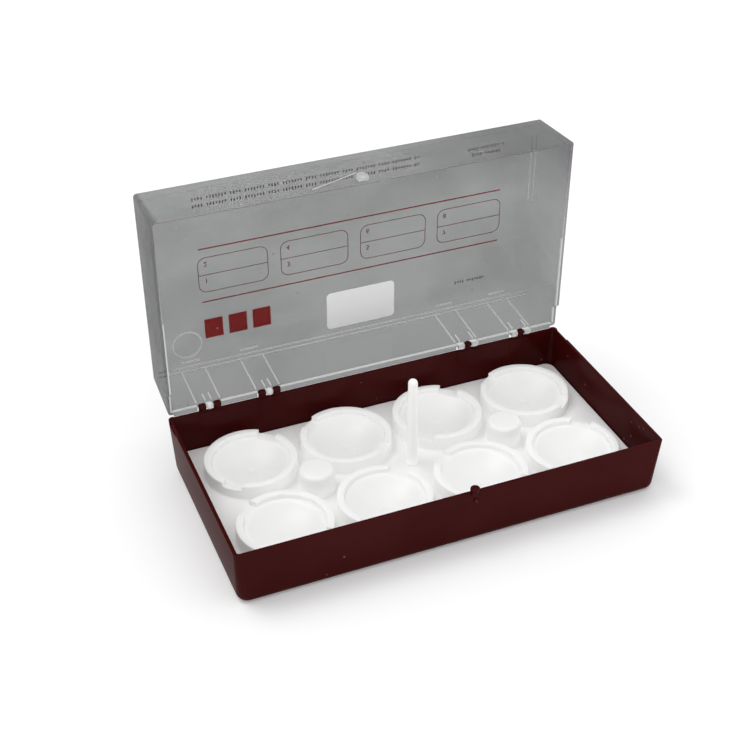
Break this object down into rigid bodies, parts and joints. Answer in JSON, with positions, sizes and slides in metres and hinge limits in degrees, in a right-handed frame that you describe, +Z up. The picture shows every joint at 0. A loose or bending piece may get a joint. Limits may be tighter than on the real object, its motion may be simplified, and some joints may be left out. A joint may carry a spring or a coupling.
{
  "type": "specimen storage box",
  "caption": "Hinged plastic storage box with a see-through lid and a lift-out insert of round cups that hold embedded specimens.",
  "frame": {"origin": "centre of the base's flat underside", "axes": "+X along the box, towards the right seen from the catch side; -Y the catch side, +Y the hinge side; +Z up"},
  "size_m": [0.18, 0.1179, 0.1203],
  "materials": {
    "maroon_plastic": "smooth moulded, fairly glossy",
    "clear_plastic": "see-through, smoke tinted, glossy",
    "white_plastic": "smooth white moulding, soft sheen",
    "post_plastic": "smooth off-white rod",
    "label_paper": "plain white paper sticker"
  },
  "bodies": {
    "base": {"base_box": "maroon_plastic", "insert_tray": "white_plastic", "lift_post": "post_plastic"},
    "lid": {"lid": "clear_plastic", "label": "label_paper"}
  },
  "joints": [
    {"name": "lid_hinge", "type": "hinge", "parent": "base", "child": "lid", "pos_m": [0, 0.045, 0.0271], "axis": [-1, 0, 0], "range_deg": [-89, 1]}
  ]
}
